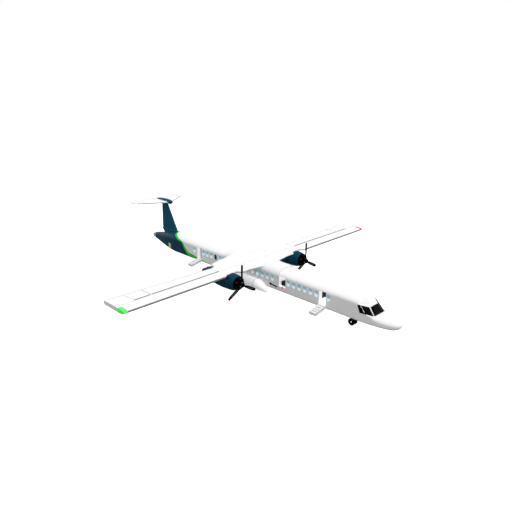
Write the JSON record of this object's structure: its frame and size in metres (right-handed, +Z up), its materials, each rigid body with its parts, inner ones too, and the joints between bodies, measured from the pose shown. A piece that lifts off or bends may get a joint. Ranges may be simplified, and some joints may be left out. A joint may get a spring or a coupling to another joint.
{
  "type": "turboprop airliner",
  "caption": "High-wing turboprop airliner with a T-tail, wing-mounted engines with propellers, gear sponsons, open airstair doors and hinged control surfaces, parked on its gear.",
  "frame": {"origin": "on the ground, midway between the nose tip and the tail tip, on the centreline", "axes": "+X to the nose, +Y to port, +Z up"},
  "size_m": [28.76, 27, 5.67],
  "materials": {
    "white_paint": "clean gloss white paint",
    "teal_paint": "gloss dark teal paint",
    "grey_paint": "satin grey paint",
    "green_paint": "gloss bright green stripe",
    "black_metal": "semi-matt black",
    "black_plastic": "matt black",
    "steel": "plain steel",
    "rubber": "black rubber",
    "glass": "pale blue cabin window",
    "dark_glass": "black windscreen",
    "green_lens": "green navigation lens",
    "red_lens": "red navigation lens"
  },
  "bodies": {
    "airframe": {"fuselage": "white_paint", "tail_cone": "grey_paint", "wing_fairing": "white_paint", "seat": "black_plastic", "wing_left": "white_paint", "wing_right": "white_paint", "nav_light_left": "red_lens", "nav_light_right": "green_lens", "nacelle_left": "teal_paint", "nacelle_right": "teal_paint", "exhaust_left": "black_metal", "exhaust_right": "black_metal", "fin": "teal_paint", "bullet": "teal_paint", "tailplane_left": "white_paint", "tailplane_right": "white_paint", "sponson_left": "white_paint", "sponson_right": "white_paint", "main_gear_leg_left": "steel", "main_gear_leg_right": "steel", "nose_gear_leg": "steel"},
    "propeller_left": {"propeller_left": "black_metal"},
    "propeller_right": {"propeller_right": "black_metal"},
    "main_wheels_left": {"main_wheels_left": "rubber"},
    "main_wheels_right": {"main_wheels_right": "rubber"},
    "nose_fork": {"nose_gear_fork": "steel"},
    "nose_wheels": {"nose_wheels": "rubber"},
    "front_door": {"front_door": "white_paint"},
    "rear_door": {"rear_door": "white_paint"},
    "flap_left": {"flap_left": "white_paint"},
    "flap_right": {"flap_right": "white_paint"},
    "aileron_left": {"aileron_left": "white_paint"},
    "aileron_right": {"aileron_right": "white_paint"},
    "elevator_left": {"elevator_left": "white_paint"},
    "elevator_right": {"elevator_right": "white_paint"},
    "rudder": {"rudder": "teal_paint"}
  },
  "joints": [
    {"name": "propeller_left_spin", "type": "hinge", "parent": "airframe", "child": "propeller_left", "pos_m": [2.92, 3.78, 1.97], "axis": [1, 0, 0], "continuous": true},
    {"name": "propeller_right_spin", "type": "hinge", "parent": "airframe", "child": "propeller_right", "pos_m": [2.92, -3.78, 1.97], "axis": [1, 0, 0], "continuous": true},
    {"name": "main_wheels_left_roll", "type": "hinge", "parent": "airframe", "child": "main_wheels_left", "pos_m": [-0.75, 1.36, 0.33786], "axis": [0, 1, 0], "continuous": true},
    {"name": "main_wheels_right_roll", "type": "hinge", "parent": "airframe", "child": "main_wheels_right", "pos_m": [-0.75, -1.36, 0.33786], "axis": [0, 1, 0], "continuous": true},
    {"name": "nose_steering", "type": "hinge", "parent": "airframe", "child": "nose_fork", "pos_m": [10.55, 0, 0.5], "axis": [0, 0, 1], "range_deg": [-60, 60]},
    {"name": "nose_wheels_roll", "type": "hinge", "parent": "nose_fork", "child": "nose_wheels", "pos_m": [10.55, 0, 0.27824], "axis": [0, 1, 0], "continuous": true},
    {"name": "front_door_hinge", "type": "hinge", "parent": "airframe", "child": "front_door", "pos_m": [8.48, -0.955, 1.055], "axis": [-1, 0, 0], "range_deg": [0, 102]},
    {"name": "rear_door_hinge", "type": "hinge", "parent": "airframe", "child": "rear_door", "pos_m": [-5.675, -0.955, 1.055], "axis": [-1, 0, 0], "range_deg": [0, 102]},
    {"name": "flap_left_hinge", "type": "hinge", "parent": "airframe", "child": "flap_left", "pos_m": [0.92, 7.535, 2.6], "axis": [0, -1, 0], "range_deg": [0, 35]},
    {"name": "flap_right_hinge", "type": "hinge", "parent": "airframe", "child": "flap_right", "pos_m": [0.92, -7.535, 2.6], "axis": [0, -1, 0], "range_deg": [0, 35]},
    {"name": "aileron_left_hinge", "type": "hinge", "parent": "airframe", "child": "aileron_left", "pos_m": [0.92, 11.375, 2.6], "axis": [0, -1, 0], "range_deg": [-20, 20]},
    {"name": "aileron_right_hinge", "type": "hinge", "parent": "airframe", "child": "aileron_right", "pos_m": [0.92, -11.375, 2.6], "axis": [0, -1, 0], "range_deg": [-20, 20]},
    {"name": "elevator_left_hinge", "type": "hinge", "parent": "airframe", "child": "elevator_left", "pos_m": [-13.22, 1.41, 5.38], "axis": [0, -1, 0], "range_deg": [-25, 15]},
    {"name": "elevator_right_hinge", "type": "hinge", "parent": "airframe", "child": "elevator_right", "pos_m": [-13.22, -1.41, 5.38], "axis": [0, -1, 0], "range_deg": [-25, 15]},
    {"name": "rudder_hinge", "type": "hinge", "parent": "airframe", "child": "rudder", "pos_m": [-11.82, 0, 2.72], "axis": [-0.1316, 0, 0.9913], "range_deg": [-27, 27]}
  ],
  "couplings": [
    {"joint": "flap_right_hinge", "follows": "flap_left_hinge", "ratio": 1},
    {"joint": "aileron_right_hinge", "follows": "aileron_left_hinge", "ratio": -1},
    {"joint": "elevator_right_hinge", "follows": "elevator_left_hinge", "ratio": 1}
  ]
}
